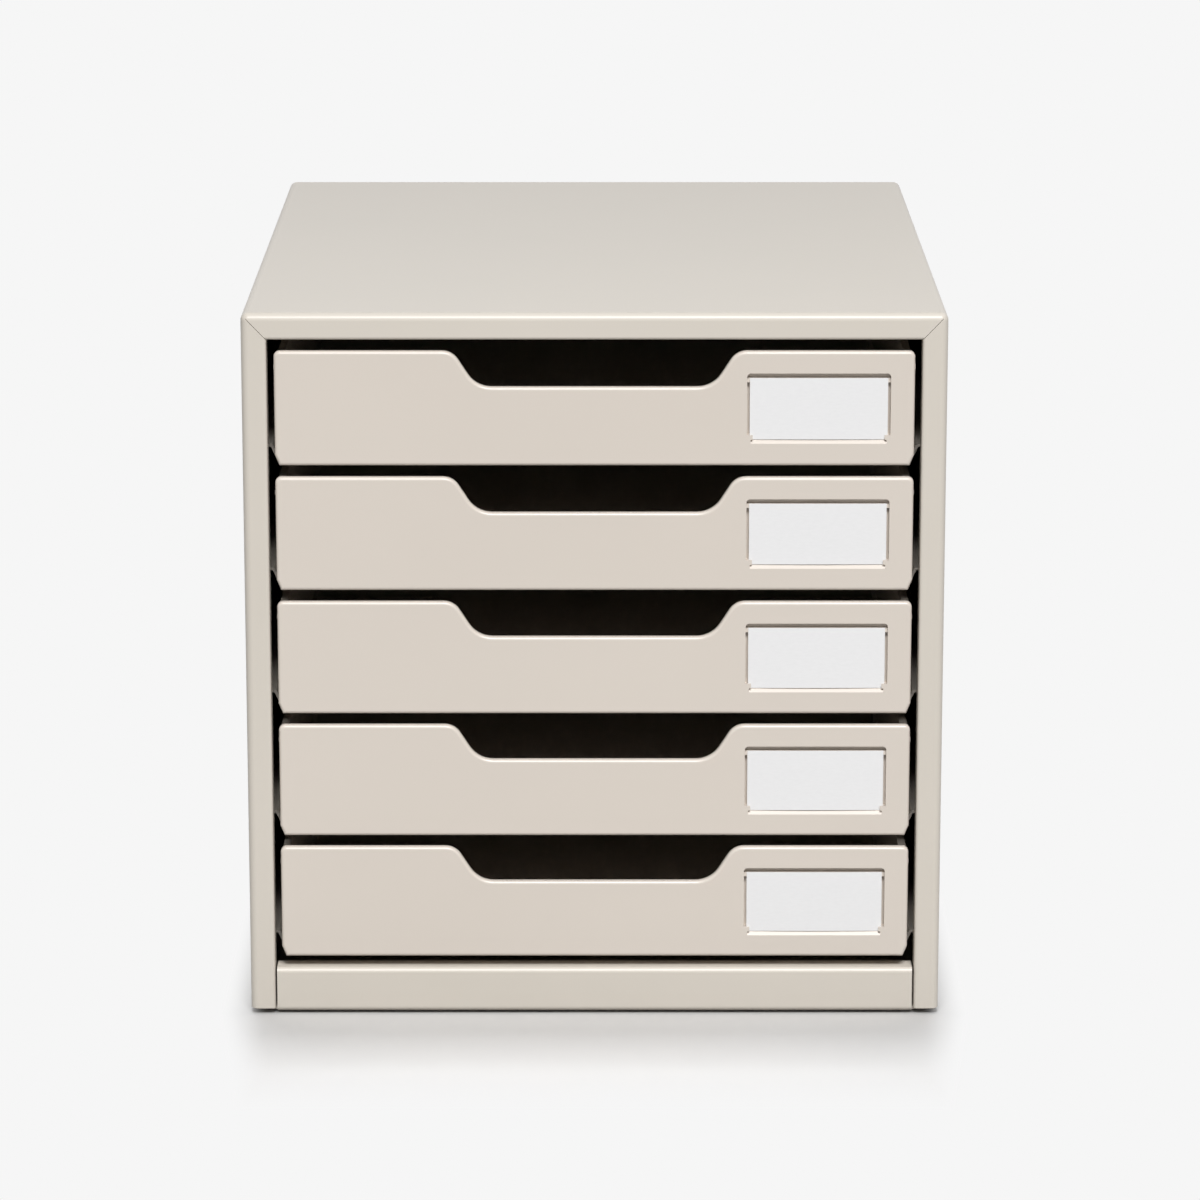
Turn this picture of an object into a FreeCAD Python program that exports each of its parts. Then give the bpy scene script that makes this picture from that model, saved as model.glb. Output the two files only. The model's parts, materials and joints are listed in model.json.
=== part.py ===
import FreeCAD, Part
import math
import os

# Document drawer cabinet: a folded steel case that holds five moulded trays.
# Millimetres, at real size. X runs to the right, Y to the back and Z up.
# The origin is on the floor under the middle of the cabinet, and the trays open towards -Y.

# Whole cabinet
WIDTH = 277.0
DEPTH = 341.0
TRAY_COUNT = 5

# Steel sheet and the outer radius of the case's bends
SHEET = 1.0
CASE_BEND = 3.0
SEAM = 0.2

# Front of the case, from the bottom edge up: rail, gap, five fronts with gaps between, gap, top flange
RAIL_HEIGHT = 18.2
BOTTOM_GAP = 4.7
FRONT_HEIGHT = 45.7
FRONT_GAP = 4.7
TOP_GAP = 4.7
TOP_FLANGE = 10.5
SIDE_FLANGE = 10.0
FLANGE_RETURN = 8.0
FLANGE_RETURN_ROUND = 1.3
WRAP_LIFT = 1.2

# Base pan
RAIL_SIDE_SEAM = 0.7
RAIL_LIP = 10.0
RAIL_INNER_BEND = 1.0
PAN_FLANGE = 11.0

# Feet: square pads with cut corners
FOOT_HEIGHT = 1.0
FOOT_WIDTH = 18.0
FOOT_CORNER = 3.0
FOOT_INSET = 22.0

# Back panel, welded inside the case's back flanges
BACK_FLANGE = 9.0
BACK_PANEL_SIDE_GAP = 2.2

# Runner: a wall leg, a shelf, a slope and a toe that the tray slides on
RUNNER_CLEARANCE = 0.1
RUNNER_LEG = 12.0
RUNNER_SHELF_RISE = 3.9
RUNNER_SHELF_INNER = 128.0
RUNNER_TOE_OUTER = 126.2
RUNNER_TOE_INNER = 121.8
RUNNER_LIP_DROP = 3.5
RUNNER_SETBACK = 24.0
RUNNER_STOP_HEIGHT = 14.0
RUNNER_BACK_GAP = 6.0

# Tray front
FRONT_WIDTH = 251.4
FRONT_RECESS = 0.8
FRONT_THICKNESS = 2.6
FRONT_EDGE_ROUND = 1.3
FRONT_TOP_CORNER = 2.3
FRONT_CHAMFER_WIDTH = 1.7
FRONT_CHAMFER_HEIGHT = 4.1

# Finger cut-out in the top edge of the front
CUTOUT_DEPTH = 14.3
CUTOUT_TOP_HALF = 55.7
CUTOUT_SLOPE_DEG = 57.0
CUTOUT_UPPER_ROUND = 7.5
CUTOUT_LOWER_ROUND = 11.0

# Tray body
TRAY_WALL = 2.0
TRAY_FLOOR = 2.0
TRAY_WALL_HEIGHT = 40.0
TRAY_BOTTOM_HALF = 123.9
TRAY_TOP_HALF = 124.9
TRAY_BACK_CORNER = 5.0
TRAY_INNER_CORNER = 3.0
TRAY_FLOOR_BEVEL = 1.5
TRAY_RIM = 1.0
TRAY_RIM_THICKNESS = 1.8

# Stop lugs that catch behind the case's side flanges
TRAY_TRAVEL = 240.0
LUG_OUTER_HALF = 130.6
LUG_LENGTH = 6.0
LUG_RAMP = 9.0
LUG_LOW = 12.0
LUG_HEIGHT = 12.0

# Label pocket in the front
POCKET_LEFT = 59.9
POCKET_WIDTH = 56.4
POCKET_BELOW_TOP = 8.8
POCKET_ABOVE_BOTTOM = 8.8
POCKET_DEPTH = 1.4
POCKET_CORNER = 1.5
POCKET_GROOVE_DEPTH = 2.8
POCKET_GROOVE_HEIGHT = 2.0
POCKET_SLOT = 1.1
POCKET_SLOT_DEPTH = 3.4
POCKET_SLOT_BELOW_GROOVE = 1.8
POCKET_RAMP = 1.6
POCKET_TAB_WIDTH = 2.3
POCKET_TAB_HEIGHT = 1.8
POCKET_TAB_THICKNESS = 0.8
POCKET_BACKING = 1.4
POCKET_BACKING_MARGIN = 1.8
CARD_THICKNESS = 0.4

# Places worked out from the sizes above
HALF_WIDTH = WIDTH / 2
FRONT_Y = -DEPTH / 2
CASE_BACK_Y = DEPTH / 2
CASE_BOTTOM = FOOT_HEIGHT
FIRST_FRONT_BOTTOM = CASE_BOTTOM + RAIL_HEIGHT + BOTTOM_GAP
FRONT_PITCH = FRONT_HEIGHT + FRONT_GAP
OPENING_TOP = FIRST_FRONT_BOTTOM + TRAY_COUNT * FRONT_PITCH - FRONT_GAP + TOP_GAP
CASE_TOP = OPENING_TOP + TOP_FLANGE
OPENING_HALF = HALF_WIDTH - SIDE_FLANGE
WALL_INSIDE = HALF_WIDTH - SHEET
TRAY_FRONT_Y = FRONT_Y + FRONT_RECESS
TRAY_WALLS_Y = TRAY_FRONT_Y + FRONT_THICKNESS
BACK_PANEL_Y = CASE_BACK_Y - SHEET
RUNNER_BACK_Y = BACK_PANEL_Y - SHEET - RUNNER_BACK_GAP
TRAY_BACK_Y = RUNNER_BACK_Y - SHEET - RUNNER_CLEARANCE

# How far a cutting shape runs past what it cuts, and how near two points count as one place
BEYOND = 5.0
NEAR = 0.01


def vector(x, y, z):
    return FreeCAD.Vector(x, y, z)


def box(x0, x1, y0, y1, z0, z1):
    return Part.makeBox(x1 - x0, y1 - y0, z1 - z0, vector(x0, y0, z0))


def seen_from_front(u, v):
    """X and Z of a profile that is extruded along Y."""
    return vector(u, 0, v)


def seen_from_side(u, v):
    """Y and Z of a profile that is extruded along X."""
    return vector(0, u, v)


def seen_from_above(u, v):
    """X and Y of a profile that is extruded along Z."""
    return vector(u, v, 0)


def rounded_wire(corners, to_space):
    """A closed outline through corners (u, v, radius), with a tangent arc at each rounded corner."""
    starts = []
    middles = []
    ends = []
    count = len(corners)
    for index, (u, v, radius) in enumerate(corners):
        here = to_space(u, v)
        before = to_space(*corners[index - 1][:2])
        after = to_space(*corners[(index + 1) % count][:2])
        to_before = (before - here).normalize()
        to_after = (after - here).normalize()
        half_angle = to_before.getAngle(to_after) / 2
        reach = radius / math.tan(half_angle)
        centre_way = (to_before + to_after).normalize()
        starts.append(here + to_before * reach)
        middles.append(here + centre_way * (radius / math.sin(half_angle) - radius))
        ends.append(here + to_after * reach)
    edges = []
    for index in range(count):
        if corners[index][2] > 0:
            edges.append(Part.Arc(starts[index], middles[index], ends[index]).toShape())
        edges.append(Part.LineSegment(ends[index], starts[(index + 1) % count]).toShape())
    return Part.Wire(edges)


def prism(corners, to_space, way, start):
    """The solid of an outline, moved to start and extruded along way."""
    face = Part.Face(rounded_wire(corners, to_space))
    face.translate(start)
    return face.extrude(way)


def folded_sheet(points, inner_bend=0.0):
    """The outline of a folded sheet: points run along one face, and the sheet lies to their right.

    Both sides of each bend are rounded about one centre, so the sheet keeps its thickness.
    """
    outer_bend = inner_bend + SHEET
    ways = []
    for (u0, v0), (u1, v1) in zip(points, points[1:]):
        length = math.hypot(u1 - u0, v1 - v0)
        ways.append(((u1 - u0) / length, (v1 - v0) / length))
    face_side = []
    other_side = []
    for (u, v), into, out_of in zip(points, ways[:1] + ways, ways + ways[-1:]):
        turn = into[0] * out_of[1] - into[1] * out_of[0]
        together = 1 + into[0] * out_of[0] + into[1] * out_of[1]
        across_u = SHEET * (into[1] + out_of[1]) / together
        across_v = -SHEET * (into[0] + out_of[0]) / together
        bend = outer_bend if turn < 0 else inner_bend
        face_side.append((u, v, bend if turn else 0.0))
        other_bend = outer_bend if turn > 0 else inner_bend
        other_side.append((u + across_u, v + across_v, other_bend if turn else 0.0))
    return face_side + other_side[::-1]


def edges_where(shape, test):
    return [edge for edge in shape.Edges if all(test(vertex.Point) for vertex in edge.Vertexes)]


def mirrored(shape):
    """The same piece on the other side of the cabinet."""
    return shape.mirror(vector(0, 0, 0), vector(1, 0, 0))


def front_bottom(number):
    """Height of the bottom edge of a tray's front. Tray 1 is at the top."""
    return FIRST_FRONT_BOTTOM + (TRAY_COUNT - number) * FRONT_PITCH


def bent_block(inset, bottom):
    """The block that the case's sheet wraps round, with its bends rounded."""
    block = box(
        -HALF_WIDTH + inset, HALF_WIDTH - inset,
        FRONT_Y + inset, CASE_BACK_Y - inset,
        bottom, CASE_TOP - inset,
    )
    upper = [edge for edge in block.Edges if edge.BoundBox.ZMax > bottom + NEAR]
    return block.makeFillet(CASE_BEND - inset, upper)


def mitre_seam():
    """The thin gap where the top flange meets the right side flange."""
    length = math.hypot(SIDE_FLANGE, TOP_FLANGE)
    angle = math.degrees(math.atan2(TOP_FLANGE, SIDE_FLANGE))
    slit = box(-SHEET * 2, length - CASE_BEND, 0, FLANGE_RETURN + SHEET, -SEAM / 2, SEAM / 2)
    slit.rotate(vector(0, 0, 0), vector(0, 1, 0), -angle)
    slit.translate(vector(OPENING_HALF, FRONT_Y - SHEET / 2, OPENING_TOP))
    return slit


def case_wrap():
    """Top and sides in one folded sheet, with flanges round the front opening and at the back."""
    bottom = CASE_BOTTOM + WRAP_LIFT
    shell = bent_block(0, bottom).cut(bent_block(SHEET, bottom - BEYOND))
    below = bottom - BEYOND
    front_opening = box(-OPENING_HALF, OPENING_HALF, FRONT_Y - BEYOND, FRONT_Y + BEYOND, below, OPENING_TOP)
    shell = shell.cut(front_opening)
    collar = box(
        -OPENING_HALF - SHEET, OPENING_HALF + SHEET,
        FRONT_Y, FRONT_Y + FLANGE_RETURN,
        bottom, OPENING_TOP + SHEET,
    )
    hollow = box(
        -OPENING_HALF, OPENING_HALF,
        FRONT_Y - BEYOND, FRONT_Y + FLANGE_RETURN + BEYOND,
        below, OPENING_TOP,
    )
    shell = shell.fuse(collar.cut(hollow)).removeSplitter()

    def on_opening(point):
        at_side = abs(abs(point.x) - OPENING_HALF) < NEAR and point.z < OPENING_TOP + NEAR
        return abs(point.y - FRONT_Y) < NEAR and at_side

    shell = shell.makeFillet(FLANGE_RETURN_ROUND, edges_where(shell, on_opening))
    seam = mitre_seam()
    shell = shell.cut(seam).cut(mirrored(seam))
    back_half = HALF_WIDTH - BACK_FLANGE
    back_top = CASE_TOP - BACK_FLANGE
    back_opening = box(-back_half, back_half, CASE_BACK_Y - BEYOND, CASE_BACK_Y + BEYOND, below, back_top)
    return shell.cut(back_opening)


def base_pan():
    """Floor of the case, folded up at the front into the rail and turned up at the sides and back."""
    rail_half = OPENING_HALF - RAIL_SIDE_SEAM
    floor_front = FRONT_Y + CASE_BEND
    rail = prism(
        folded_sheet([
            (floor_front + BEYOND, CASE_BOTTOM),
            (FRONT_Y, CASE_BOTTOM),
            (FRONT_Y, CASE_BOTTOM + RAIL_HEIGHT),
            (FRONT_Y + RAIL_LIP, CASE_BOTTOM + RAIL_HEIGHT),
        ], RAIL_INNER_BEND),
        seen_from_side, vector(2 * rail_half, 0, 0), vector(-rail_half, 0, 0),
    )
    floor_length = CASE_BACK_Y - CASE_BEND - floor_front
    floor = prism(
        folded_sheet([
            (WALL_INSIDE, CASE_BOTTOM + PAN_FLANGE),
            (WALL_INSIDE, CASE_BOTTOM),
            (-WALL_INSIDE, CASE_BOTTOM),
            (-WALL_INSIDE, CASE_BOTTOM + PAN_FLANGE),
        ]),
        seen_from_front, vector(0, floor_length, 0), vector(0, floor_front, 0),
    )
    back_y = BACK_PANEL_Y - SHEET
    back_half = WALL_INSIDE - BACK_PANEL_SIDE_GAP
    back_flange = box(-back_half, back_half, back_y - SHEET, back_y, CASE_BOTTOM, CASE_BOTTOM + PAN_FLANGE)
    return rail.fuse([floor, back_flange]).removeSplitter()


def back_panel():
    """Flat sheet behind the trays, against the inside of the case's back flanges."""
    half = WALL_INSIDE - BACK_PANEL_SIDE_GAP
    top = CASE_TOP - SHEET - BACK_PANEL_SIDE_GAP
    return box(-half, half, BACK_PANEL_Y - SHEET, BACK_PANEL_Y, CASE_BOTTOM + SHEET, top)


def foot(side, end):
    """Thin square pad with cut corners under a corner of the base."""
    half = FOOT_WIDTH / 2
    short = half - FOOT_CORNER
    outline = [
        (-short, -half, 0.0),
        (short, -half, 0.0),
        (half, -short, 0.0),
        (half, short, 0.0),
        (short, half, 0.0),
        (-short, half, 0.0),
        (-half, short, 0.0),
        (-half, -short, 0.0),
    ]
    place = vector(side * (HALF_WIDTH - FOOT_INSET), end * (DEPTH / 2 - FOOT_INSET), 0)
    return prism(outline, seen_from_above, vector(0, 0, FOOT_HEIGHT), place)


def left_runner(number):
    """Folded ledge on the left wall. Its toe carries the tray, and its back end is a stop."""
    toe = front_bottom(number) - RUNNER_CLEARANCE
    shelf = front_bottom(number) + RUNNER_SHELF_RISE
    front = FRONT_Y + RUNNER_SETBACK
    ledge = prism(
        folded_sheet([
            (-WALL_INSIDE, shelf - RUNNER_LEG),
            (-WALL_INSIDE, shelf),
            (-RUNNER_SHELF_INNER, shelf),
            (-RUNNER_TOE_OUTER, toe),
            (-RUNNER_TOE_INNER, toe),
            (-RUNNER_TOE_INNER, front_bottom(number) - RUNNER_LIP_DROP),
        ]),
        seen_from_front, vector(0, RUNNER_BACK_Y - front, 0), vector(0, front, 0),
    )
    stop = box(
        -WALL_INSIDE + BEYOND, -RUNNER_TOE_INNER - SHEET,
        RUNNER_BACK_Y - SHEET, RUNNER_BACK_Y,
        shelf - SHEET, shelf - SHEET + RUNNER_STOP_HEIGHT,
    )
    return ledge.fuse(stop).removeSplitter()


def cutout_corners(bottom, top):
    """The notch's four corners from left to right; top is where its sides start."""
    low = bottom + FRONT_HEIGHT - CUTOUT_DEPTH
    low_half = CUTOUT_TOP_HALF - CUTOUT_DEPTH / math.tan(math.radians(CUTOUT_SLOPE_DEG))
    return [
        (-CUTOUT_TOP_HALF, top, CUTOUT_UPPER_ROUND),
        (-low_half, low, CUTOUT_LOWER_ROUND),
        (low_half, low, CUTOUT_LOWER_ROUND),
        (CUTOUT_TOP_HALF, top, CUTOUT_UPPER_ROUND),
    ]


def tray_front(bottom):
    """Front plate with the finger cut-out, relieved lower corners and a rounded outer edge."""
    half = FRONT_WIDTH / 2
    top = bottom + FRONT_HEIGHT
    corners = [
        (-half + FRONT_CHAMFER_WIDTH, bottom, 0.0),
        (-half, bottom + FRONT_CHAMFER_HEIGHT, 0.0),
        (-half, top, FRONT_TOP_CORNER),
    ]
    corners += cutout_corners(bottom, top)
    corners += [
        (half, top, FRONT_TOP_CORNER),
        (half, bottom + FRONT_CHAMFER_HEIGHT, 0.0),
        (half - FRONT_CHAMFER_WIDTH, bottom, 0.0),
    ]
    plate = prism(corners, seen_from_front, vector(0, FRONT_THICKNESS, 0), vector(0, TRAY_FRONT_Y, 0))
    face_edges = edges_where(plate, lambda point: abs(point.y - TRAY_FRONT_Y) < NEAR)
    return plate.makeFillet(FRONT_EDGE_ROUND, face_edges)


def drafted_block(low_half, high_half, low_back, high_back, bottom, top):
    """A block behind the front plate that widens upwards at its sides and back."""
    block = Part.makeWedge(
        -low_half, bottom, -low_back, -high_back, -high_half,
        low_half, top, -TRAY_WALLS_Y, -TRAY_WALLS_Y, high_half,
    )
    block.rotate(vector(0, 0, 0), vector(1, 0, 0), 90)
    return block


def back_corners(block):
    """The edges that run up a block's two back corners."""
    uprights = [edge for edge in block.Edges if edge.BoundBox.ZLength > BEYOND]
    return [edge for edge in uprights if edge.BoundBox.YMin > 0]


def tray_body(bottom):
    """Open tray with drafted walls, a bevelled floor edge and a rim round its sides and back."""
    draft = TRAY_TOP_HALF - TRAY_BOTTOM_HALF
    top = bottom + TRAY_WALL_HEIGHT
    high_back = TRAY_BACK_Y - TRAY_RIM
    low_back = high_back - draft
    outside = drafted_block(TRAY_BOTTOM_HALF, TRAY_TOP_HALF, low_back, high_back, bottom, top)
    outside = outside.makeFillet(TRAY_BACK_CORNER, back_corners(outside))
    rim_half = TRAY_TOP_HALF + TRAY_RIM
    rim = prism(
        [
            (-rim_half, TRAY_WALLS_Y, 0.0),
            (rim_half, TRAY_WALLS_Y, 0.0),
            (rim_half, TRAY_BACK_Y, TRAY_BACK_CORNER),
            (-rim_half, TRAY_BACK_Y, TRAY_BACK_CORNER),
        ],
        seen_from_above, vector(0, 0, TRAY_RIM_THICKNESS), vector(0, 0, top - TRAY_RIM_THICKNESS),
    )
    floor = bottom + TRAY_FLOOR
    cavity = drafted_block(
        TRAY_BOTTOM_HALF - TRAY_WALL, TRAY_TOP_HALF - TRAY_WALL,
        low_back - TRAY_WALL, high_back - TRAY_WALL,
        floor, top + TRAY_FLOOR,
    )
    cavity = cavity.makeFillet(TRAY_INNER_CORNER, back_corners(cavity))
    floor_edges = edges_where(cavity, lambda point: abs(point.z - floor) < NEAR)
    cavity = cavity.makeChamfer(TRAY_FLOOR_BEVEL, floor_edges)
    return outside.fuse(rim).cut(cavity)


def stop_lug(bottom):
    """Wedge on the right wall. Its front face meets the back of the case's flange at full travel."""
    front = FRONT_Y + FLANGE_RETURN + TRAY_TRAVEL + RUNNER_CLEARANCE
    inner = TRAY_BOTTOM_HALF - TRAY_WALL / 2
    corners = [
        (inner, front, 0.0),
        (LUG_OUTER_HALF, front, 0.0),
        (LUG_OUTER_HALF, front + LUG_LENGTH, 0.0),
        (inner, front + LUG_LENGTH + LUG_RAMP, 0.0),
    ]
    return prism(corners, seen_from_above, vector(0, 0, LUG_HEIGHT), vector(0, 0, bottom + LUG_LOW))


def pocket_limits(bottom):
    """Left, right, bottom and top of the label pocket at the face of the front."""
    left = POCKET_LEFT
    right = POCKET_LEFT + POCKET_WIDTH
    return left, right, bottom + POCKET_ABOVE_BOTTOM, bottom + FRONT_HEIGHT - POCKET_BELOW_TOP


def with_label_pocket(tray, bottom):
    """Cuts the recess, its top groove, its side slots and its lower ramp, and leaves two corner tabs."""
    left, right, low, high = pocket_limits(bottom)
    face = TRAY_FRONT_Y
    back = TRAY_WALLS_Y + POCKET_BACKING
    margin = POCKET_BACKING_MARGIN
    backing = box(left - margin, right + margin, TRAY_WALLS_Y, back, low - margin, high + margin)
    recess = prism(
        [
            (left, low + POCKET_RAMP, 0.0),
            (left, high, POCKET_CORNER),
            (right, high, POCKET_CORNER),
            (right, low + POCKET_RAMP, 0.0),
        ],
        seen_from_front, vector(0, POCKET_DEPTH + SHEET, 0), vector(0, face - SHEET, 0),
    )
    ramp = prism(
        [
            (face - SHEET, low - SHEET * POCKET_RAMP / POCKET_DEPTH, 0.0),
            (face + POCKET_DEPTH, low + POCKET_RAMP, 0.0),
            (face + POCKET_DEPTH, low + 2 * POCKET_RAMP, 0.0),
            (face - SHEET, low + 2 * POCKET_RAMP, 0.0),
        ],
        seen_from_side,
        vector(POCKET_WIDTH - 2 * POCKET_CORNER, 0, 0),
        vector(left + POCKET_CORNER, 0, 0),
    )
    groove_low = high - POCKET_GROOVE_HEIGHT
    groove = prism(
        [
            (left, groove_low, 0.0),
            (left, high, POCKET_CORNER),
            (right, high, POCKET_CORNER),
            (right, groove_low, 0.0),
        ],
        seen_from_front, vector(0, POCKET_GROOVE_DEPTH, 0), vector(0, face, 0),
    )
    tab_low = low + POCKET_RAMP
    tab_high = tab_low + POCKET_TAB_HEIGHT
    slots = [
        box(
            slot_left, slot_left + POCKET_SLOT,
            face, face + POCKET_SLOT_DEPTH,
            tab_high, groove_low - POCKET_SLOT_BELOW_GROOVE,
        )
        for slot_left in (left, right - POCKET_SLOT)
    ]
    tray = tray.fuse(backing).cut(recess.fuse([ramp, groove] + slots))
    for tab_left in (left - SHEET, right - POCKET_TAB_WIDTH):
        tab = box(
            tab_left, tab_left + POCKET_TAB_WIDTH + SHEET,
            face, face + POCKET_TAB_THICKNESS,
            tab_low, tab_high,
        )
        tray = tray.fuse(tab)
    return tray


def tray(number):
    """One moulded drawer: front, open body, stop lugs and label pocket."""
    bottom = front_bottom(number)
    lug = stop_lug(bottom)
    solid = tray_front(bottom).fuse([tray_body(bottom), lug, mirrored(lug)])
    return with_label_pocket(solid, bottom).removeSplitter()


def label_card(number):
    """Paper card on the pocket's floor, with its lower corners behind the two tabs."""
    left, right, low, high = pocket_limits(front_bottom(number))
    back = TRAY_FRONT_Y + POCKET_DEPTH
    return box(
        left + POCKET_SLOT, right - POCKET_SLOT,
        back - CARD_THICKNESS, back,
        low + POCKET_RAMP, high - POCKET_GROOVE_HEIGHT,
    )


def all_pieces():
    pieces = {
        "case_wrap": case_wrap(),
        "base_pan": base_pan(),
        "back_panel": back_panel(),
    }
    for end_name, end in (("front", -1), ("back", 1)):
        for side_name, side in (("left", -1), ("right", 1)):
            pieces[f"foot_{end_name}_{side_name}"] = foot(side, end)
    for number in range(1, TRAY_COUNT + 1):
        runner = left_runner(number)
        pieces[f"runner_left_{number}"] = runner
        pieces[f"runner_right_{number}"] = mirrored(runner)
        pieces[f"tray_{number}"] = tray(number)
        pieces[f"label_card_{number}"] = label_card(number)
    return pieces


os.makedirs("parts", exist_ok=True)
for name, shape in all_pieces().items():
    shape.exportStep(f"parts/{name}.step")
    state = "valid" if shape.isValid() else "NOT VALID"
    print(name, state, len(shape.Solids), "solids", round(shape.Volume), "mm3")
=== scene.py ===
# %% [markdown]
# A drawer cabinet for documents, dressed for a studio picture.
#
# The real object is a desktop cabinet for A4 sheets: one case of folded, powder-coated steel, and five
# moulded trays that slide in it on steel ledges. Every rigid shape is finished when this lesson starts.
# The frame brings each piece at its real size and place, in metres, and here it gets its surfaces, its
# paper cards, the marks of its welds, its light and its camera.

# %% Load the frame
import json
import math
import random

import bpy
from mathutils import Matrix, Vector


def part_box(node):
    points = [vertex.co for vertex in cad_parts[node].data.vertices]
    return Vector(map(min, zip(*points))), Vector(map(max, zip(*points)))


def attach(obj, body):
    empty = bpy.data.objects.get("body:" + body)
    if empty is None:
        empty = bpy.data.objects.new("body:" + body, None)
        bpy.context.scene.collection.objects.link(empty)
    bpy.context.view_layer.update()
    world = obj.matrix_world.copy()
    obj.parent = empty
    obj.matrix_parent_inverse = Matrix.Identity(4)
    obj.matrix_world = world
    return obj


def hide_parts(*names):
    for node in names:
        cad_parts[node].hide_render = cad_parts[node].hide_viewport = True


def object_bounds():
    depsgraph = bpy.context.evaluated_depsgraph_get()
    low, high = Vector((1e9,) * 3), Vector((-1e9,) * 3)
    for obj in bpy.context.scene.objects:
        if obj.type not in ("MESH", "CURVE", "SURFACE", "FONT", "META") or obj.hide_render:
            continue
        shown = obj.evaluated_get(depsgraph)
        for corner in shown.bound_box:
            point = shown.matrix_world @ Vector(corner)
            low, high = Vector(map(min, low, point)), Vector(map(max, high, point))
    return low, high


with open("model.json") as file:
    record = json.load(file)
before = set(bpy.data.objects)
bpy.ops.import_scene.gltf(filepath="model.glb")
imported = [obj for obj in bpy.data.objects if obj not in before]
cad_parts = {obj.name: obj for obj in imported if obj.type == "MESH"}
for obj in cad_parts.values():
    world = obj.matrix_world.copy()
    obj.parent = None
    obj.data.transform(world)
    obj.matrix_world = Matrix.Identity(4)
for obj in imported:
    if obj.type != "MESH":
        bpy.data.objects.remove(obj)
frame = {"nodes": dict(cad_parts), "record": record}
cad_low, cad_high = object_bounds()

MM = 0.001
scene = bpy.context.scene
nodes = frame["nodes"]
trays = sorted(name for name in nodes if name.startswith("tray_"))
print("cabinet in mm:", [round(extent / MM, 1) for extent in cad_high - cad_low])

# %% [markdown]
# Colours as they are read off a screen.
#
# A hex code such as D8CFC5 is an sRGB value, and Blender's shaders work in linear light. Typing the code
# into a colour field converts it without a word, but a script has to do it itself. One function does it
# for every colour of the lesson, so that all of them can be compared by their codes.

# %% Turn a hex colour to linear
def linear(code):
    """The linear colour, with alpha, of an sRGB hex code."""
    channels = []
    for start in (0, 2, 4):
        value = int(code[start:start + 2], 16) / 255
        channels.append(value / 12.92 if value <= 0.04045 else ((value + 0.055) / 1.055) ** 2.4)
    return (*channels, 1.0)


print("pebble grey D8CFC5 is", [round(channel, 3) for channel in linear("D8CFC5")[:3]])

# %% [markdown]
# Nodes with few words.
#
# A node tree in a script soon fills pages with lines that set one socket each. One helper is enough: it
# adds a node, sets its properties, and gives every input either a plain value or another node's output.
# Inputs can be named or numbered, because the Mix node has several inputs of one name.

# %% Add a node with its settings and links
def add(tree, kind, feed=None, **settings):
    """Adds a node. Settings are its properties, and feed gives each input a value or an output socket."""
    node = tree.nodes.new(kind)
    for name, value in settings.items():
        setattr(node, name, value)
    for socket, value in (feed or {}).items():
        if isinstance(value, bpy.types.NodeSocket):
            tree.links.new(value, node.inputs[socket])
        else:
            node.inputs[socket].default_value = value
    return node


def start_material(name):
    """An empty material and its node tree."""
    material = bpy.data.materials.new(name)
    material.use_nodes = True
    material.node_tree.nodes.clear()
    return material, material.node_tree


def millimetres(tree, stretch=(1.0, 1.0, 1.0)):
    """Object coordinates in millimetres, so that a noise scale of 1/8 is a pattern 8 mm wide."""
    place = add(tree, "ShaderNodeTexCoord")
    scale = [part / MM for part in stretch]
    return add(tree, "ShaderNodeMapping", {"Vector": place.outputs["Object"], "Scale": scale}).outputs[0]


def within(tree, value, limits):
    """A value of 0 to 1, brought to run between two limits."""
    feed = {"Value": value, "To Min": limits[0], "To Max": limits[1]}
    return add(tree, "ShaderNodeMapRange", feed).outputs[0]


def between(tree, factor, first, second):
    """A colour that wanders between two hex codes as factor goes from 0 to 1."""
    feed = {0: factor, 6: linear(first), 7: linear(second)}
    return add(tree, "ShaderNodeMix", feed, data_type="RGBA").outputs[2]


# %% [markdown]
# Powder-coated steel, on the case and everything welded to it.
#
# The parts are sprayed with dry polyester powder and baked. The powder melts to a thick, satin skin that
# never levels fully: it keeps the shallow dimples called orange peel, about 2 mm apart, and a finer grain.
# The eye reads the coat from how these break up a soft highlight, so they drive the bump and not the
# colour. The colour itself only wanders a little over a hand's width, as a sprayed coat does.
# Both grains are noise in real millimetres. The fine one is 0.3 mm on a real coat, and is drawn 0.6 mm
# wide because anything finer is lost between the picture's pixels.

# %% Make the powder coat
ORANGE_PEEL = 2.0
ORANGE_PEEL_DEPTH = 0.02 * MM
COAT_GRAIN = 0.6
COAT_GRAIN_DEPTH = 0.01 * MM
COAT_CLOUD = 70.0
COAT_ROUGHNESS = (0.33, 0.40)


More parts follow.
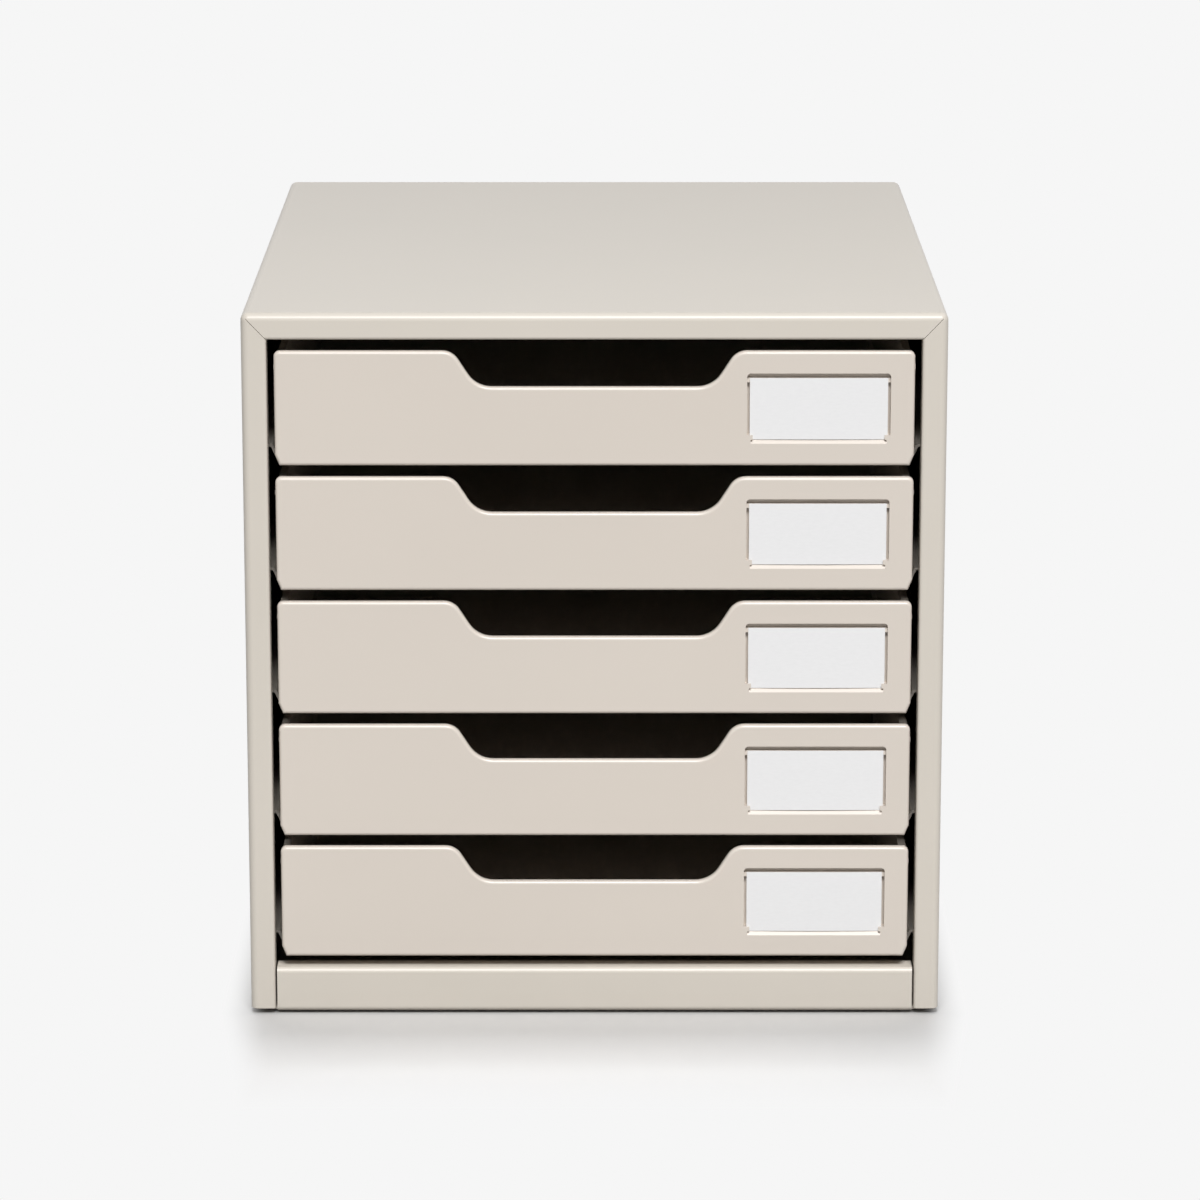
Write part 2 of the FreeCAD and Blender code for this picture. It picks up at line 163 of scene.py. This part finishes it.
def powder_coated_steel():
    material, tree = start_material("powder_coated_steel")
    place = millimetres(tree)
    cloud = add(tree, "ShaderNodeTexNoise", {"Vector": place, "Scale": 1 / COAT_CLOUD, "Detail": 3.0})
    peel = add(tree, "ShaderNodeTexNoise", {"Vector": place, "Scale": 1 / ORANGE_PEEL, "Detail": 1.0})
    grain = add(tree, "ShaderNodeTexNoise", {"Vector": place, "Scale": 1 / COAT_GRAIN, "Detail": 2.0})
    colour = between(tree, cloud.outputs[0], "D3CCC1", "D9D2C8")
    sheen = within(tree, cloud.outputs[0], COAT_ROUGHNESS)
    dimples = add(tree, "ShaderNodeBump", {
        "Height": peel.outputs[0],
        "Strength": 0.5,
        "Distance": ORANGE_PEEL_DEPTH,
    })
    skin = add(tree, "ShaderNodeBump", {
        "Height": grain.outputs[0],
        "Normal": dimples.outputs[0],
        "Strength": 0.4,
        "Distance": COAT_GRAIN_DEPTH,
    })
    coat = add(
        tree, "ShaderNodeBsdfPrincipled",
        {"Base Color": colour, "Roughness": sheen, "IOR": 1.5, "Normal": skin.outputs[0]},
    )
    add(tree, "ShaderNodeOutputMaterial", {"Surface": coat.outputs[0]})
    return material


powder_coat = powder_coated_steel()
print(powder_coat.name, "has", len(powder_coat.node_tree.nodes), "nodes")

# %% [markdown]
# Moulded polystyrene, on the trays.
#
# The trays are injection moulded in a plastic that is tinted through, so it has no skin of paint. Its
# surface is the negative of the mould: spark erosion leaves a fine, even, velvety grain that hides
# fingerprints and scatters the light softly. Over a wide flat wall the cooling plastic also shrinks
# unevenly, and that shows as very long, very shallow waves in a reflection.
# The real grain is about 0.15 mm. It is drawn 0.5 mm wide, which is as fine as the picture shows.

# %% Make the moulded plastic
SPARK_GRAIN = 0.5
SPARK_GRAIN_DEPTH = 0.02 * MM
SINK_WAVE = 35.0
SINK_WAVE_DEPTH = 0.06 * MM
PLASTIC_CLOUD = 90.0
PLASTIC_ROUGHNESS = (0.30, 0.35)


def moulded_polystyrene():
    material, tree = start_material("moulded_polystyrene")
    place = millimetres(tree)
    cloud = add(tree, "ShaderNodeTexNoise", {"Vector": place, "Scale": 1 / PLASTIC_CLOUD, "Detail": 2.0})
    wave = add(tree, "ShaderNodeTexNoise", {"Vector": place, "Scale": 1 / SINK_WAVE, "Detail": 0.0})
    grain = add(
        tree, "ShaderNodeTexVoronoi", {"Vector": place, "Scale": 1 / SPARK_GRAIN}, feature="SMOOTH_F1",
    )
    colour = between(tree, cloud.outputs[0], "D7CEC4", "DBD2C8")
    sinks = add(tree, "ShaderNodeBump", {
        "Height": wave.outputs[0],
        "Strength": 1.0,
        "Distance": SINK_WAVE_DEPTH,
    })
    velvet = add(tree, "ShaderNodeBump", {
        "Height": grain.outputs["Distance"],
        "Normal": sinks.outputs[0],
        "Strength": 0.5,
        "Distance": SPARK_GRAIN_DEPTH,
    })
    patch = within(tree, cloud.outputs[0], PLASTIC_ROUGHNESS)
    plastic = add(
        tree, "ShaderNodeBsdfPrincipled",
        {"Base Color": colour, "Roughness": patch, "IOR": 1.57, "Normal": velvet.outputs[0]},
    )
    add(tree, "ShaderNodeOutputMaterial", {"Surface": plastic.outputs[0]})
    return material


polystyrene = moulded_polystyrene()
print(polystyrene.name, "has", len(polystyrene.node_tree.nodes), "nodes")

# %% [markdown]
# Card stock, for the labels.
#
# The labels are cut from uncoated white card. It has no gloss at all, and it isn't even: its fibres lie
# mostly one way, because the paper machine pulls them along, and they leave faint streaks in its white.
# The streaks are noise that is stretched three times along the card. Real fibres are far finer than a
# pixel, so the streaks stand for clumps of them, 0.8 mm wide.

# %% Make the card stock
FIBRE_CLUMP = 0.8
FIBRE_STRETCH = 1 / 3
FIBRE_DEPTH = 0.02 * MM


def card_stock():
    material, tree = start_material("uncoated_card_stock")
    place = millimetres(tree, (FIBRE_STRETCH, 1.0, 1.0))
    fibres = add(tree, "ShaderNodeTexNoise", {"Vector": place, "Scale": 1 / FIBRE_CLUMP, "Detail": 3.0})
    colour = between(tree, fibres.outputs[0], "E9E9EA", "EFEFF0")
    tooth = add(tree, "ShaderNodeBump", {
        "Height": fibres.outputs[0],
        "Strength": 0.4,
        "Distance": FIBRE_DEPTH,
    })
    paper = add(
        tree, "ShaderNodeBsdfPrincipled",
        {"Base Color": colour, "Roughness": 0.9, "IOR": 1.45, "Normal": tooth.outputs[0]},
    )
    add(tree, "ShaderNodeOutputMaterial", {"Surface": paper.outputs[0]})
    return material


card = card_stock()
print(card.name, "has", len(card.node_tree.nodes), "nodes")

# %% [markdown]
# Rubber, for the feet.
#
# The pads are punched from sheet rubber. It is nearly black, dull, and dusted with the chalk that keeps
# the sheets from sticking in the roll. The chalk is a thin layer of paler grey where a noise is high.

# %% Make the rubber
CHALK_PATCH = 3.0
PORE_DEPTH = 0.05 * MM


def sheet_rubber():
    material, tree = start_material("punched_sheet_rubber")
    place = millimetres(tree)
    chalk = add(tree, "ShaderNodeTexNoise", {"Vector": place, "Scale": 1 / CHALK_PATCH, "Detail": 4.0})
    colour = between(tree, chalk.outputs[0], "1B1B1C", "3A3A3B")
    pores = add(tree, "ShaderNodeBump", {
        "Height": chalk.outputs[0],
        "Strength": 0.5,
        "Distance": PORE_DEPTH,
    })
    rubber = add(
        tree, "ShaderNodeBsdfPrincipled",
        {"Base Color": colour, "Roughness": 0.85, "IOR": 1.52, "Normal": pores.outputs[0]},
    )
    add(tree, "ShaderNodeOutputMaterial", {"Surface": rubber.outputs[0]})
    return material


rubber = sheet_rubber()
print(rubber.name, "has", len(rubber.node_tree.nodes), "nodes")

# %% [markdown]
# Give every CAD piece its finish.
#
# The record that comes with the frame says which finish each node takes, so a short table from its slots
# to the materials dresses the whole cabinet. Only material slots change here. The meshes stay as they
# are, because their shapes and places are the real ones.

# %% Dress the nodes
FINISHES = {
    "case_paint": powder_coat,
    "tray_plastic": polystyrene,
    "label_paper": card,
    "foot_rubber": rubber,
}
for subpart in frame["record"]["subparts"]:
    piece = nodes[subpart["node"]]
    piece.data.materials.clear()
    piece.data.materials.append(FINISHES[subpart["material_slot"]])

# %% [markdown]
# Rules that grow pieces.
#
# A Geometry Nodes tree is a rule for a shape: sizes go in, and a mesh comes out. A tree made in a script
# needs its inputs declared, and each use of it sets them by the socket's identifier, since names needn't
# be unique. The result is then frozen into a plain mesh that keeps no modifier, and rides on its body.

# %% Declare a rule, and run it
def start_rule(name, sizes):
    """A Geometry Nodes tree with a float or vector input for each size, and its first node."""
    tree = bpy.data.node_groups.new(name, "GeometryNodeTree")
    tree.interface.new_socket("Geometry", in_out="INPUT", socket_type="NodeSocketGeometry")
    tree.interface.new_socket("Geometry", in_out="OUTPUT", socket_type="NodeSocketGeometry")
    for size, kind in sizes.items():
        tree.interface.new_socket(size, in_out="INPUT", socket_type=kind)
    return tree, add(tree, "NodeGroupInput")


def end_rule(tree, geometry, material):
    """Closes a rule: instances become real faces, and the faces get their material."""
    real = add(tree, "GeometryNodeRealizeInstances", {"Geometry": geometry})
    painted = add(tree, "GeometryNodeSetMaterial", {"Geometry": real.outputs[0], "Material": material})
    add(tree, "NodeGroupOutput", {0: painted.outputs[0]})


def grow(name, tree, sizes, body, seed_mesh=None):
    """Runs a rule with these sizes and returns the result as a plain mesh that rides on body."""
    piece = bpy.data.objects.new(name, seed_mesh or bpy.data.meshes.new(name))
    scene.collection.objects.link(piece)
    rule = piece.modifiers.new("rule", "NODES")
    rule.node_group = tree
    for item in tree.interface.items_tree:
        if item.in_out == "INPUT" and item.name in sizes:
            rule[item.identifier] = sizes[item.name]
    evaluated = piece.evaluated_get(bpy.context.evaluated_depsgraph_get())
    mesh = bpy.data.meshes.new_from_object(evaluated)
    piece.modifiers.remove(rule)
    piece.data = mesh
    mesh.name = name
    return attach(piece, body)


# %% [markdown]
# The label cards.
#
# Each card is a slip of stiff paper that is pushed down into a pocket and held by two small tabs at its
# lower corners. A slip held like that is never flat: its middle stands a few tenths of a millimetre
# towards you, and no two stand alike. That bow is what gives five white rectangles five slightly
# different greys.
# The rule starts from a grid, lifts it by a parabola across its width, gives it a thickness, and closes
# its back with a flipped copy of the grid. The same rule makes all five, with a bow drawn from a fixed
# seed. The frame's own card gives the size and the place.

# %% The rule for a bowed card
CARD_COLUMNS = 33
CARD_ROWS = 3
SAME_PLACE = 0.001 * MM


def card_rule():
    tree, sizes = start_rule("bowed_card", {
        "Width": "NodeSocketFloat",
        "Height": "NodeSocketFloat",
        "Thickness": "NodeSocketFloat",
        "Bow": "NodeSocketFloat",
        "Centre": "NodeSocketVector",
    })
    flat = add(tree, "GeometryNodeMeshGrid", {
        "Size X": sizes.outputs["Width"],
        "Size Y": sizes.outputs["Height"],
        "Vertices X": CARD_COLUMNS,
        "Vertices Y": CARD_ROWS,
    })
    place = add(tree, "GeometryNodeInputPosition")
    across = add(tree, "ShaderNodeSeparateXYZ", {0: place.outputs[0]}).outputs["X"]
    half = add(tree, "ShaderNodeMath", {0: sizes.outputs["Width"], 1: 2.0}, operation="DIVIDE").outputs[0]
    share = add(tree, "ShaderNodeMath", {0: across, 1: half}, operation="DIVIDE").outputs[0]
    squared = add(tree, "ShaderNodeMath", {0: share, 1: share}, operation="MULTIPLY").outputs[0]
    hump = add(tree, "ShaderNodeMath", {0: 1.0, 1: squared}, operation="SUBTRACT").outputs[0]
    lift = add(tree, "ShaderNodeMath", {0: hump, 1: sizes.outputs["Bow"]}, operation="MULTIPLY").outputs[0]
    offset = add(tree, "ShaderNodeCombineXYZ", {"Z": lift}).outputs[0]
    bowed = add(tree, "GeometryNodeSetPosition", {"Geometry": flat.outputs["Mesh"], "Offset": offset})
    thick = add(
        tree, "GeometryNodeExtrudeMesh",
        {"Mesh": bowed.outputs[0], "Offset Scale": sizes.outputs["Thickness"], "Individual": False},
    )
    back = add(tree, "GeometryNodeFlipFaces", {"Mesh": bowed.outputs[0]})
    whole = add(tree, "GeometryNodeJoinGeometry")
    tree.links.new(thick.outputs["Mesh"], whole.inputs[0])
    tree.links.new(back.outputs[0], whole.inputs[0])
    closed = add(tree, "GeometryNodeMergeByDistance", {"Geometry": whole.outputs[0], "Distance": SAME_PLACE})
    upright = add(tree, "GeometryNodeTransform", {
        "Geometry": closed.outputs[0],
        "Translation": sizes.outputs["Centre"],
        "Rotation": (math.radians(90), 0.0, 0.0),
    })
    end_rule(tree, upright.outputs[0], card)
    return tree


bowed_card = card_rule()
print(bowed_card.name, "has", len(bowed_card.nodes), "nodes")

# %% Slip a card into each pocket
SMALLEST_BOW = 0.12 * MM
LARGEST_BOW = 0.35 * MM
BOW_SEED = 5
chance = random.Random(BOW_SEED)
for tray_name in trays:
    number = tray_name.removeprefix("tray_")
    low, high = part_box(f"label_card_{number}")
    bow = chance.uniform(SMALLEST_BOW, LARGEST_BOW)
    slip = grow(f"card_slip_{number}", bowed_card, {
        "Width": high.x - low.x,
        "Height": high.z - low.z,
        "Thickness": high.y - low.y,
        "Bow": bow,
        "Centre": Vector(((low.x + high.x) / 2, high.y, (low.z + high.z) / 2)),
    }, f"drawer_{number}")
    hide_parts(f"label_card_{number}")
    print(slip.name, "bows", round(bow / MM, 2), "mm,", len(slip.data.polygons), "faces")

# %% [markdown]
# The marks of the spot welds.
#
# The runners, the base pan and the back panel are spot-welded to the case before it is coated. Each weld
# leaves a ring on the outside where the electrode pressed the sheet, and the powder coat softens it to
# something that is seen only when light rakes over the wall. Nobody models these, and a folded case
# without them looks cast.
# The spots are plain points with a direction, and the rule puts one low ring on each. A ring is a circle
# swept along a circle and then pressed flat, so it is closed and stands a few hundredths above the wall.
# Each row runs along the piece that is welded inside, and keeps to the flat of its flange: a spot on a
# bend would have nothing to hold.

# %% Place the spots
SPOTS_PER_ROW = 4
SPOTS_PER_BACK_SIDE = 5
SPOTS_PER_BACK_EDGE = 4
SPOT_END_INSET = 26 * MM
BACK_FLANGE_MIDDLE = 6.0 * MM
PAN_WELD_RISE = 6.5 * MM
RUNNER_WELD_RISE = 5.5 * MM


def spread(first, last, count):
    """Count values from first to last, evenly apart."""
    return [first + (last - first) * step / (count - 1) for step in range(count)]


def weld_spots():
    """The place and the outward direction of each weld on the case."""
    spots = []
    wrap_low, wrap_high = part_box("case_wrap")
    pan_low, pan_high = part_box("base_pan")
    rows = [(pan_low, pan_high, PAN_WELD_RISE)]
    for tray_name in trays:
        runner_low, runner_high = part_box(tray_name.replace("tray", "runner_left"))
        rows.append((runner_low, runner_high, RUNNER_WELD_RISE))
    for side, wall_x in ((-1, wrap_low.x), (1, wrap_high.x)):
        for low, high, rise in rows:
            for depth in spread(low.y + SPOT_END_INSET, high.y - SPOT_END_INSET, SPOTS_PER_ROW):
                spots.append(((wall_x, depth, low.z + rise), (side, 0, 0)))
        flange_x = wall_x - side * BACK_FLANGE_MIDDLE
        for height in spread(pan_high.z + SPOT_END_INSET, wrap_high.z - SPOT_END_INSET, SPOTS_PER_BACK_SIDE):
            spots.append(((flange_x, wrap_high.y, height), (0, 1, 0)))
    top_z = wrap_high.z - BACK_FLANGE_MIDDLE
    corner_inset = 2 * SPOT_END_INSET
    for across in spread(wrap_low.x + corner_inset, wrap_high.x - corner_inset, SPOTS_PER_BACK_EDGE):
        spots.append(((across, wrap_high.y, top_z), (0, 1, 0)))
    return spots


spots = weld_spots()
print(len(spots), "weld spots")

# %% The rule for the weld rings
RING_RADIUS = 2.4 * MM
RING_WIDTH = 0.9 * MM
RING_HEIGHT = 0.05 * MM
RING_STEPS = 28
BEAD_STEPS = 8


def weld_rule():
    tree, sizes = start_rule("weld_rings", {
        "Ring radius": "NodeSocketFloat",
        "Ring width": "NodeSocketFloat",
        "Ring height": "NodeSocketFloat",
    })
    path = add(tree, "GeometryNodeCurvePrimitiveCircle", {
        "Resolution": RING_STEPS,
        "Radius": sizes.outputs["Ring radius"],
    })
    half_width = add(
        tree, "ShaderNodeMath", {0: sizes.outputs["Ring width"], 1: 2.0}, operation="DIVIDE",
    ).outputs[0]
    bead = add(tree, "GeometryNodeCurvePrimitiveCircle", {"Resolution": BEAD_STEPS, "Radius": half_width})
    tube = add(tree, "GeometryNodeCurveToMesh", {
        "Curve": path.outputs["Curve"],
        "Profile Curve": bead.outputs["Curve"],
    })
    press = add(
        tree, "ShaderNodeMath", {0: sizes.outputs["Ring height"], 1: half_width}, operation="DIVIDE",
    ).outputs[0]
    pressed = add(tree, "ShaderNodeCombineXYZ", {"X": 1.0, "Y": 1.0, "Z": press}).outputs[0]
    ring = add(tree, "GeometryNodeTransform", {"Geometry": tube.outputs[0], "Scale": pressed})
    outward = add(tree, "GeometryNodeInputNamedAttribute", {"Name": "outward"}, data_type="FLOAT_VECTOR")
    turn = add(
        tree, "FunctionNodeAlignRotationToVector", {"Vector": outward.outputs["Attribute"]}, axis="Z",
    )
    rings = add(tree, "GeometryNodeInstanceOnPoints", {
        "Points": sizes.outputs["Geometry"],
        "Instance": ring.outputs[0],
        "Rotation": turn.outputs[0],
    })
    smooth = add(tree, "GeometryNodeSetShadeSmooth", {"Geometry": rings.outputs[0], "Shade Smooth": True})
    end_rule(tree, smooth.outputs[0], powder_coat)
    return tree


seeds = bpy.data.meshes.new("weld_seeds")
seeds.from_pydata([spot for spot, outward in spots], [], [])
facing = seeds.attributes.new("outward", "FLOAT_VECTOR", "POINT")
facing.data.foreach_set("vector", [part for spot, outward in spots for part in outward])
welds = grow("weld_marks", weld_rule(), {
    "Ring radius": RING_RADIUS,
    "Ring width": RING_WIDTH,
    "Ring height": RING_HEIGHT,
}, "cabinet", seeds)
print(welds.name, "has", len(welds.data.polygons), "faces")

# %% [markdown]
# The studio floor.
#
# The picture has a plain pale ground that fades into an equally pale background, with a soft shadow under
# the cabinet's front edge. A real sweep of paper does it with a lot of light and a curve. Here the floor
# is one wide disc. Under the cabinet, and for a hand's width in front, it is honest matte paper, so it
# takes the shadow. Further out it turns into a surface that simply shows the background colour to the
# camera and to reflections, so that no horizon appears. The patch of real paper gets narrower towards its
# front, as the shadow does, so that its rim never shows as a shape of its own. To the light that bounces
# round the scene the floor is a duller paper, or else it would light the fronts from below and take the
# roundness from their edges.

# %% Lay the floor
BACKGROUND = "F6F6F6"
BOUNCE_PAPER = "C6C5C3"
FLOOR_RADIUS = 9.0
FLOOR_SIDES = 96
PAPER_IN_FRONT = (58 * MM, 118 * MM)
PAPER_NARROWING = 0.12
PAPER_BESIDE = (-6 * MM, 12 * MM)
PAPER_BEHIND = (20 * MM, 60 * MM)


def seen_directly(tree):
    """1 for rays from the camera, and for those that a gloss or a glass sends on, and 0 for bounced light."""
    path = add(tree, "ShaderNodeLightPath")
    mirrored = add(
        tree, "ShaderNodeMath",
        {0: path.outputs["Is Glossy Ray"], 1: path.outputs["Is Transmission Ray"]}, operation="MAXIMUM",
    )
    return add(
        tree, "ShaderNodeMath",
        {0: path.outputs["Is Camera Ray"], 1: mirrored.outputs[0]}, operation="MAXIMUM",
    ).outputs[0]


def fade(tree, value, start, stop):
    """0 before start, 1 past stop, and a soft passage between them."""
    feed = {"Value": value, "From Min": start, "From Max": stop}
    return add(tree, "ShaderNodeMapRange", feed, interpolation_type="SMOOTHSTEP").outputs[0]


def studio_paper():
    material, tree = start_material("studio_paper")
    place = add(tree, "ShaderNodeTexCoord").outputs["Object"]
    spot = add(tree, "ShaderNodeSeparateXYZ", {0: place})
    across = add(tree, "ShaderNodeMath", {0: spot.outputs["X"]}, operation="ABSOLUTE").outputs[0]
    ahead = add(
        tree, "ShaderNodeMath", {0: cad_low.y, 1: spot.outputs["Y"]}, operation="SUBTRACT", use_clamp=True,
    ).outputs[0]
    narrowed = add(
        tree, "ShaderNodeMath", {0: ahead, 1: PAPER_NARROWING, 2: across}, operation="MULTIPLY_ADD",
    ).outputs[0]
    beside = fade(tree, narrowed, *(cad_high.x + reach for reach in PAPER_BESIDE))
    front = fade(tree, spot.outputs["Y"], *(cad_low.y - reach for reach in PAPER_IN_FRONT))
    behind = fade(tree, spot.outputs["Y"], *(cad_high.y + reach for reach in PAPER_BEHIND))
    far = add(tree, "ShaderNodeMath", {0: beside, 1: front}, operation="MAXIMUM").outputs[0]
    far = add(tree, "ShaderNodeMath", {0: far, 1: behind}, operation="MAXIMUM").outputs[0]
    seen = seen_directly(tree)
    blend = add(tree, "ShaderNodeMath", {0: far, 1: seen}, operation="MULTIPLY").outputs[0]
    paper = add(tree, "ShaderNodeBsdfDiffuse", {"Color": between(tree, seen, BOUNCE_PAPER, BACKGROUND)})
    ground = add(tree, "ShaderNodeEmission", {"Color": linear(BACKGROUND), "Strength": 1.0})
    both = add(tree, "ShaderNodeMixShader", {0: blend, 1: paper.outputs[0], 2: ground.outputs[0]})
    add(tree, "ShaderNodeOutputMaterial", {"Surface": both.outputs[0]})
    return material


bpy.ops.mesh.primitive_circle_add(vertices=FLOOR_SIDES, radius=FLOOR_RADIUS, fill_type="NGON")
floor = bpy.context.object
floor.name = "studio_floor"
floor.data.materials.append(studio_paper())
print("floor:", 2 * FLOOR_RADIUS, "m across")

# %% [markdown]
# The light.
#
# One large soft box hangs high in front of the cabinet, a little to its right, and does nearly all the
# work: it lights the top and the fronts alike, and its reflection whitens the rounded upper edges of the
# five fronts. It comes from so high that it doesn't reach into the trays, and so the finger cut-outs stay
# black. A plain soft box would give the rail a tenth less light than the uppermost front, because the rail
# is farther away. So this one wears a honeycomb grid, which dims its light away from its axis, and points
# at the floor far in front. The rail is nearer to that axis than the uppermost front is, and so the fronts
# come out more even. The rear of the top is farthest from it, and falls off a little more.
# The soft shadow on the floor needs a lamp from above and behind. Such a lamp would bleach the top, so it
# is linked to the floor alone, and the soft box to everything but the floor.
# The levels are given as shares of the light at which a colour looks as it was written, and the power of
# a lamp follows from its distance.

# %% Hang the lamps
FAR_IN_FRONT = Vector((0.0, -1.3, 0.0))
FLOOR_IN_FRONT = Vector((0.0, -0.27, 0.0))
KEY_PLACE = (0.43, -3.29, 3.73)
KEY_SIZE = (1.95, 1.35)
KEY_LEVEL = 1.91
KEY_GRID = math.radians(90)
SHADOW_PLACE = (0.0, 0.23, 2.6)
SHADOW_SIZE = (0.9, 0.42)
SHADOW_LEVEL = 0.38
FILL_PLACE = (0.0, -1.6, 2.4)
FILL_SIZE = (1.2, 0.8)
FILL_LEVEL = 0.45


def soft_box(name, place, aim, size, level, grid=math.pi):
    """An area lamp at place, turned to aim. Level 1 shows a surface there, facing it, as it is written.

    The grid is the full angle of the light that it lets out. A grid gathers light on the axis, and the
    power comes down by the same share, so that the level at the aim stays.
    """
    lamp = bpy.data.lights.new(name, "AREA")
    lamp.shape = "RECTANGLE"
    lamp.size, lamp.size_y = size
    lamp.spread = grid
    steepness = math.tan(grid / 2)
    gathered = 1 - grid / 2 / steepness
    towards = aim - Vector(place)
    lamp.energy = level * math.pi ** 2 * towards.length_squared * gathered
    holder = bpy.data.objects.new(name, lamp)
    holder.location = place
    holder.rotation_euler = towards.to_track_quat("-Z", "Y").to_euler()
    scene.collection.objects.link(holder)
    print(name, "at", round(towards.length, 2), "m with", round(lamp.energy, 1), "W")
    return holder


def link_floor(holder, state):
    """Lights the floor alone with this lamp, or everything but the floor."""
    receivers = bpy.data.collections.new(holder.name + "_receivers")
    receivers.objects.link(floor)
    receivers.collection_objects[0].light_linking.link_state = state
    holder.light_linking.receiver_collection = receivers


key = soft_box("key_box", KEY_PLACE, FAR_IN_FRONT, KEY_SIZE, KEY_LEVEL, KEY_GRID)
link_floor(key, "EXCLUDE")
shadow_lamp = soft_box("shadow_lamp", SHADOW_PLACE, FLOOR_IN_FRONT, SHADOW_SIZE, SHADOW_LEVEL)
link_floor(shadow_lamp, "INCLUDE")
paper_fill = soft_box("paper_fill", FILL_PLACE, FLOOR_IN_FRONT, FILL_SIZE, FILL_LEVEL)
link_floor(paper_fill, "INCLUDE")

# %% [markdown]
# The world.
#
# It has two jobs. To the camera and to reflections it is the pale background. To everything else it is
# the weak, even light of a white room, which keeps the shadows open without filling the black gaps.

# %% Set the world
ROOM_LIGHT = 0.12

world = bpy.data.worlds.new("pale_room")
scene.world = world
world.use_nodes = True
world.node_tree.nodes.clear()
room = add(world.node_tree, "ShaderNodeBackground", {"Color": (1, 1, 1, 1), "Strength": ROOM_LIGHT})
backdrop = add(world.node_tree, "ShaderNodeBackground", {"Color": linear(BACKGROUND), "Strength": 1.0})
seen = add(
    world.node_tree, "ShaderNodeMixShader",
    {0: seen_directly(world.node_tree), 1: room.outputs[0], 2: backdrop.outputs[0]},
)
add(world.node_tree, "ShaderNodeOutputWorld", {"Surface": seen.outputs[0]})
print("room light", ROOM_LIGHT)

# %% [markdown]
# The camera.
#
# The picture was taken from over two metres away with a long lens, a little above the cabinet. From so
# far its edges hardly run together, and that is what makes a product look calm and exact. The distance,
# the height and the lens were found by matching the cabinet's corners in the picture.

# %% Place the camera
CAMERA_PLACE = (0.0017, -2.149, 0.6408)
CAMERA_TILT = 13.346
CAMERA_TURN = 0.014
LENS = 154.18

camera = bpy.data.objects.new("camera", bpy.data.cameras.new("camera"))
camera.data.lens = LENS
camera.location = CAMERA_PLACE
camera.rotation_euler = (math.radians(90 - CAMERA_TILT), 0.0, math.radians(-CAMERA_TURN))
scene.collection.objects.link(camera)
scene.camera = camera
print("camera", round(-CAMERA_PLACE[1], 2), "m in front, tilted", CAMERA_TILT, "degrees down")

# %% [markdown]
# The plain view.
#
# The Standard view shows colours as they are, with no film curve.

# %% Set the plain view
scene.view_settings.view_transform = "Standard"
